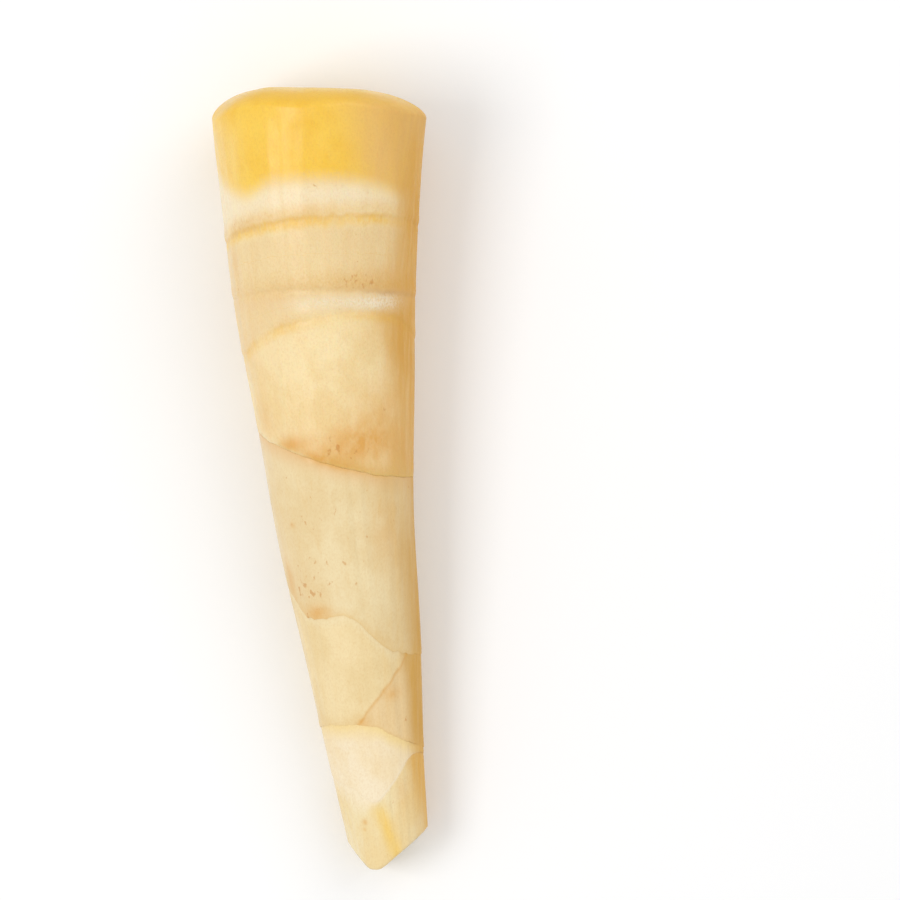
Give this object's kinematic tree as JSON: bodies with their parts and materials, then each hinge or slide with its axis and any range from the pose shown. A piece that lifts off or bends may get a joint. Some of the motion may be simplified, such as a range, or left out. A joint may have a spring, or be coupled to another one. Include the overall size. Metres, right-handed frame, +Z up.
{
  "type": "boiled bamboo shoot",
  "caption": "Peeled, boiled bamboo shoot lying on its side: a ringed stem cut square at the base, leaf sheaths wrapped towards the tip, and a blunt cut tip.",
  "frame": {"origin": "middle of the shoot's outline on the surface that it lies on", "axes": "+Y along the shoot towards its cut base, +Z up from the surface it lies on, +X to the right of the tip seen from above with the base at the top"},
  "size_m": [0.0532, 0.1964, 0.0506],
  "materials": {
    "stem_flesh": "wet, smooth boiled flesh, golden at the base and cream above it, with brown fibrous rings",
    "sheath_leaf": "wet, finely ribbed boiled leaf sheath, cream to tan",
    "pale_scale": "wet, smooth, pale cream boiled leaf",
    "tip_leaf": "wet, finely ribbed boiled leaf, yellow to tan"
  },
  "bodies": {
    "root": {"culm": "stem_flesh", "sheath_1": "sheath_leaf", "sheath_2": "sheath_leaf", "sheath_3": "pale_scale", "tip_roll": "tip_leaf"}
  },
  "joints": []
}
